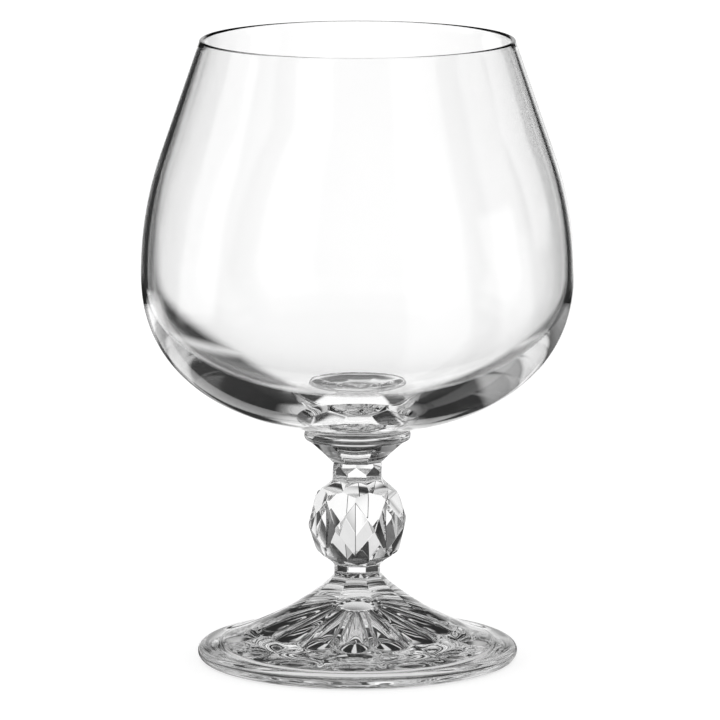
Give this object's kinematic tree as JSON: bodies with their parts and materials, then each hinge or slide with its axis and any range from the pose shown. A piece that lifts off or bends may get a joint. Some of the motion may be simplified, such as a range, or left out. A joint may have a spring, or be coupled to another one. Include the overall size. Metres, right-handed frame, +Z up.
{
  "type": "brandy snifter",
  "caption": "Clear glass brandy snifter: thin blown bowl narrowing to the rim, flared collar, short stem with a faceted knop, and a bell foot with a pressed rosette underneath.",
  "frame": {"origin": "on the axis of the glass, at the level of the table that the foot rests on", "axes": "+Z up along the axis of the glass, -Y towards the viewer, square to one diamond-shaped groove of the knop"},
  "size_m": [0.0808, 0.0808, 0.117],
  "materials": {
    "blown_glass": "clear, fire polished",
    "pressed_glass": "clear, pressed and fire polished"
  },
  "bodies": {
    "root": {"bowl": "blown_glass", "collar": "pressed_glass", "stem": "pressed_glass", "foot": "pressed_glass"}
  },
  "joints": []
}
